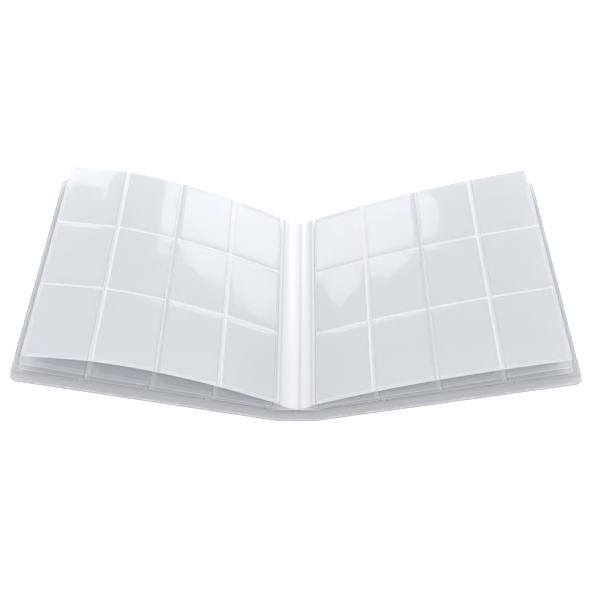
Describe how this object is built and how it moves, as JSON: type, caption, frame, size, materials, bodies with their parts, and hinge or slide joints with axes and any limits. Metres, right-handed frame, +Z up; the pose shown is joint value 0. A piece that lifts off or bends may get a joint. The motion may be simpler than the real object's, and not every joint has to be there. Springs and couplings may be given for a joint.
{
  "type": "trading card binder",
  "caption": "Open card binder: hinged cover boards and folded clear-pocket sheets bound along the spine, whose leaves turn, flex at their welds and flatten as the covers close.",
  "frame": {"origin": "middle of the underside of the spine, on the table", "axes": "+X to the right cover (back cover), +Y away from the reader along the spine, +Z up"},
  "size_m": [0.5986, 0.3042, 0.1128],
  "materials": {
    "cover_skin": "satin light grey, fine grain",
    "cover_lining": "smooth light grey",
    "board": "plain grey board",
    "pocket_film": "clear glossy film",
    "leaf_sheet": "matt cool white",
    "binding_plastic": "smooth white"
  },
  "bodies": {
    "spine": {"spine_board": "board", "spine_skin": "cover_skin", "spine_lining": "cover_lining", "binding_bar": "binding_plastic", "folio_strip_1": "binding_plastic", "folio_strip_2": "binding_plastic", "folio_strip_3": "binding_plastic", "folio_strip_4": "binding_plastic", "front_hinge_strip": "cover_skin", "back_hinge_strip": "cover_skin"},
    "front_cover": {"front_cover_board": "board", "front_cover_skin": "cover_skin", "front_cover_lining": "cover_lining"},
    "left_leaf_4": {"left_leaf_4_sheet": "leaf_sheet", "left_leaf_4_upper_pockets": "pocket_film", "left_leaf_4_lower_pockets": "pocket_film"},
    "left_leaf_3": {"left_leaf_3_sheet": "leaf_sheet", "left_leaf_3_upper_pockets": "pocket_film", "left_leaf_3_lower_pockets": "pocket_film"},
    "left_leaf_2": {"left_leaf_2_sheet": "leaf_sheet", "left_leaf_2_upper_pockets": "pocket_film", "left_leaf_2_lower_pockets": "pocket_film"},
    "left_leaf_1_margin": {"left_leaf_1_margin": "leaf_sheet"},
    "left_leaf_1_column_1": {"left_leaf_1_panel_1": "leaf_sheet", "left_leaf_1_pockets_1": "pocket_film"},
    "left_leaf_1_column_2": {"left_leaf_1_panel_2": "leaf_sheet", "left_leaf_1_pockets_2": "pocket_film"},
    "left_leaf_1_column_3": {"left_leaf_1_panel_3": "leaf_sheet", "left_leaf_1_pockets_3": "pocket_film"},
    "left_leaf_1_column_4": {"left_leaf_1_panel_4": "leaf_sheet", "left_leaf_1_pockets_4": "pocket_film"},
    "back_cover": {"back_cover_board": "board", "back_cover_skin": "cover_skin", "back_cover_lining": "cover_lining"},
    "right_leaf_4": {"right_leaf_4_sheet": "leaf_sheet", "right_leaf_4_upper_pockets": "pocket_film", "right_leaf_4_lower_pockets": "pocket_film"},
    "right_leaf_3": {"right_leaf_3_sheet": "leaf_sheet", "right_leaf_3_upper_pockets": "pocket_film", "right_leaf_3_lower_pockets": "pocket_film"},
    "right_leaf_2": {"right_leaf_2_sheet": "leaf_sheet", "right_leaf_2_upper_pockets": "pocket_film", "right_leaf_2_lower_pockets": "pocket_film"},
    "right_leaf_1_margin": {"right_leaf_1_margin": "leaf_sheet"},
    "right_leaf_1_column_1": {"right_leaf_1_panel_1": "leaf_sheet", "right_leaf_1_pockets_1": "pocket_film"},
    "right_leaf_1_column_2": {"right_leaf_1_panel_2": "leaf_sheet", "right_leaf_1_pockets_2": "pocket_film"},
    "right_leaf_1_column_3": {"right_leaf_1_panel_3": "leaf_sheet", "right_leaf_1_pockets_3": "pocket_film"},
    "right_leaf_1_column_4": {"right_leaf_1_panel_4": "leaf_sheet", "right_leaf_1_pockets_4": "pocket_film"}
  },
  "joints": [
    {"name": "front_cover_hinge", "type": "hinge", "parent": "spine", "child": "front_cover", "pos_m": [-0.02, 0, 0.002], "axis": [0, 1, 0], "range_deg": [-16, 74], "deforming": ["front_hinge_strip", "folio_strip_1", "folio_strip_2", "folio_strip_3", "folio_strip_4"]},
    {"name": "left_leaf_4_fold", "type": "hinge", "parent": "spine", "child": "left_leaf_4", "pos_m": [-0.02, 0, 0.002], "axis": [0, 1, 0], "range_deg": [-16.5, 74.5]},
    {"name": "left_leaf_3_fold", "type": "hinge", "parent": "spine", "child": "left_leaf_3", "pos_m": [-0.0185, 0, 0.0063], "axis": [0, 1, 0], "range_deg": [-17, 75]},
    {"name": "left_leaf_2_turn", "type": "hinge", "parent": "left_leaf_3", "child": "left_leaf_2", "pos_m": [-0.0195, 0, 0.0134], "axis": [0, -1, 0], "range_deg": [-12, 1.5]},
    {"name": "left_leaf_1_crease", "type": "hinge", "parent": "left_leaf_2", "child": "left_leaf_1_margin", "pos_m": [-0.0184, 0, 0.022], "axis": [0, 1, 0], "range_deg": [-12.2, 3.11]},
    {"name": "left_leaf_1_turn", "type": "hinge", "parent": "left_leaf_1_margin", "child": "left_leaf_1_column_1", "pos_m": [-0.02192, 0, 0.02391], "axis": [0, -1, 0], "range_deg": [-120, 0]},
    {"name": "left_leaf_1_weld_1", "type": "hinge", "parent": "left_leaf_1_column_1", "child": "left_leaf_1_column_2", "pos_m": [-0.08211, 0, 0.05659], "axis": [0, 1, 0], "range_deg": [-1.7, 5.7]},
    {"name": "left_leaf_1_weld_2", "type": "hinge", "parent": "left_leaf_1_column_2", "child": "left_leaf_1_column_3", "pos_m": [-0.14498, 0, 0.0838], "axis": [0, 1, 0], "range_deg": [-2.11, 7.6]},
    {"name": "left_leaf_1_weld_3", "type": "hinge", "parent": "left_leaf_1_column_3", "child": "left_leaf_1_column_4", "pos_m": [-0.21069, 0, 0.10314], "axis": [0, 1, 0], "range_deg": [-2.52, 9.5]},
    {"name": "back_cover_hinge", "type": "hinge", "parent": "spine", "child": "back_cover", "pos_m": [0.02, 0, 0.002], "axis": [0, -1, 0], "range_deg": [-16, 74], "deforming": ["back_hinge_strip"]},
    {"name": "right_leaf_4_fold", "type": "hinge", "parent": "spine", "child": "right_leaf_4", "pos_m": [0.02, 0, 0.002], "axis": [0, -1, 0], "range_deg": [-16.5, 74.5]},
    {"name": "right_leaf_3_fold", "type": "hinge", "parent": "spine", "child": "right_leaf_3", "pos_m": [0.0185, 0, 0.0063], "axis": [0, -1, 0], "range_deg": [-17, 75]},
    {"name": "right_leaf_2_turn", "type": "hinge", "parent": "right_leaf_3", "child": "right_leaf_2", "pos_m": [0.0195, 0, 0.0134], "axis": [0, 1, 0], "range_deg": [-8, 1.5]},
    {"name": "right_leaf_1_crease", "type": "hinge", "parent": "right_leaf_2", "child": "right_leaf_1_margin", "pos_m": [0.0184, 0, 0.0197], "axis": [0, -1, 0], "range_deg": [-7.1, 2.01]},
    {"name": "right_leaf_1_turn", "type": "hinge", "parent": "right_leaf_1_margin", "child": "right_leaf_1_column_1", "pos_m": [0.02207, 0, 0.02129], "axis": [0, 1, 0], "range_deg": [-15, 0]},
    {"name": "right_leaf_1_weld_1", "type": "hinge", "parent": "right_leaf_1_column_1", "child": "right_leaf_1_column_2", "pos_m": [0.08494, 0, 0.04849], "axis": [0, -1, 0], "range_deg": [-1.31, 3.9]},
    {"name": "right_leaf_1_weld_2", "type": "hinge", "parent": "right_leaf_1_column_2", "child": "right_leaf_1_column_3", "pos_m": [0.14927, 0, 0.07203], "axis": [0, -1, 0], "range_deg": [-1.18, 3.3]},
    {"name": "right_leaf_1_weld_3", "type": "hinge", "parent": "right_leaf_1_column_3", "child": "right_leaf_1_column_4", "pos_m": [0.21463, 0, 0.09252], "axis": [0, -1, 0], "range_deg": [-1.05, 2.7]}
  ],
  "couplings": [
    {"joint": "left_leaf_4_fold", "follows": "front_cover_hinge", "ratio": 1},
    {"joint": "left_leaf_3_fold", "follows": "front_cover_hinge", "ratio": 1.0041},
    {"joint": "left_leaf_1_crease", "follows": "front_cover_hinge", "ratio": -0.15676},
    {"joint": "left_leaf_1_weld_1", "follows": "front_cover_hinge", "ratio": 0.068919},
    {"joint": "left_leaf_1_weld_2", "follows": "front_cover_hinge", "ratio": 0.094595},
    {"joint": "left_leaf_1_weld_3", "follows": "front_cover_hinge", "ratio": 0.12027},
    {"joint": "right_leaf_4_fold", "follows": "back_cover_hinge", "ratio": 1},
    {"joint": "right_leaf_3_fold", "follows": "back_cover_hinge", "ratio": 1.0041},
    {"joint": "right_leaf_1_crease", "follows": "back_cover_hinge", "ratio": -0.087838},
    {"joint": "right_leaf_1_weld_1", "follows": "back_cover_hinge", "ratio": 0.044595},
    {"joint": "right_leaf_1_weld_2", "follows": "back_cover_hinge", "ratio": 0.036486},
    {"joint": "right_leaf_1_weld_3", "follows": "back_cover_hinge", "ratio": 0.028378}
  ]
}
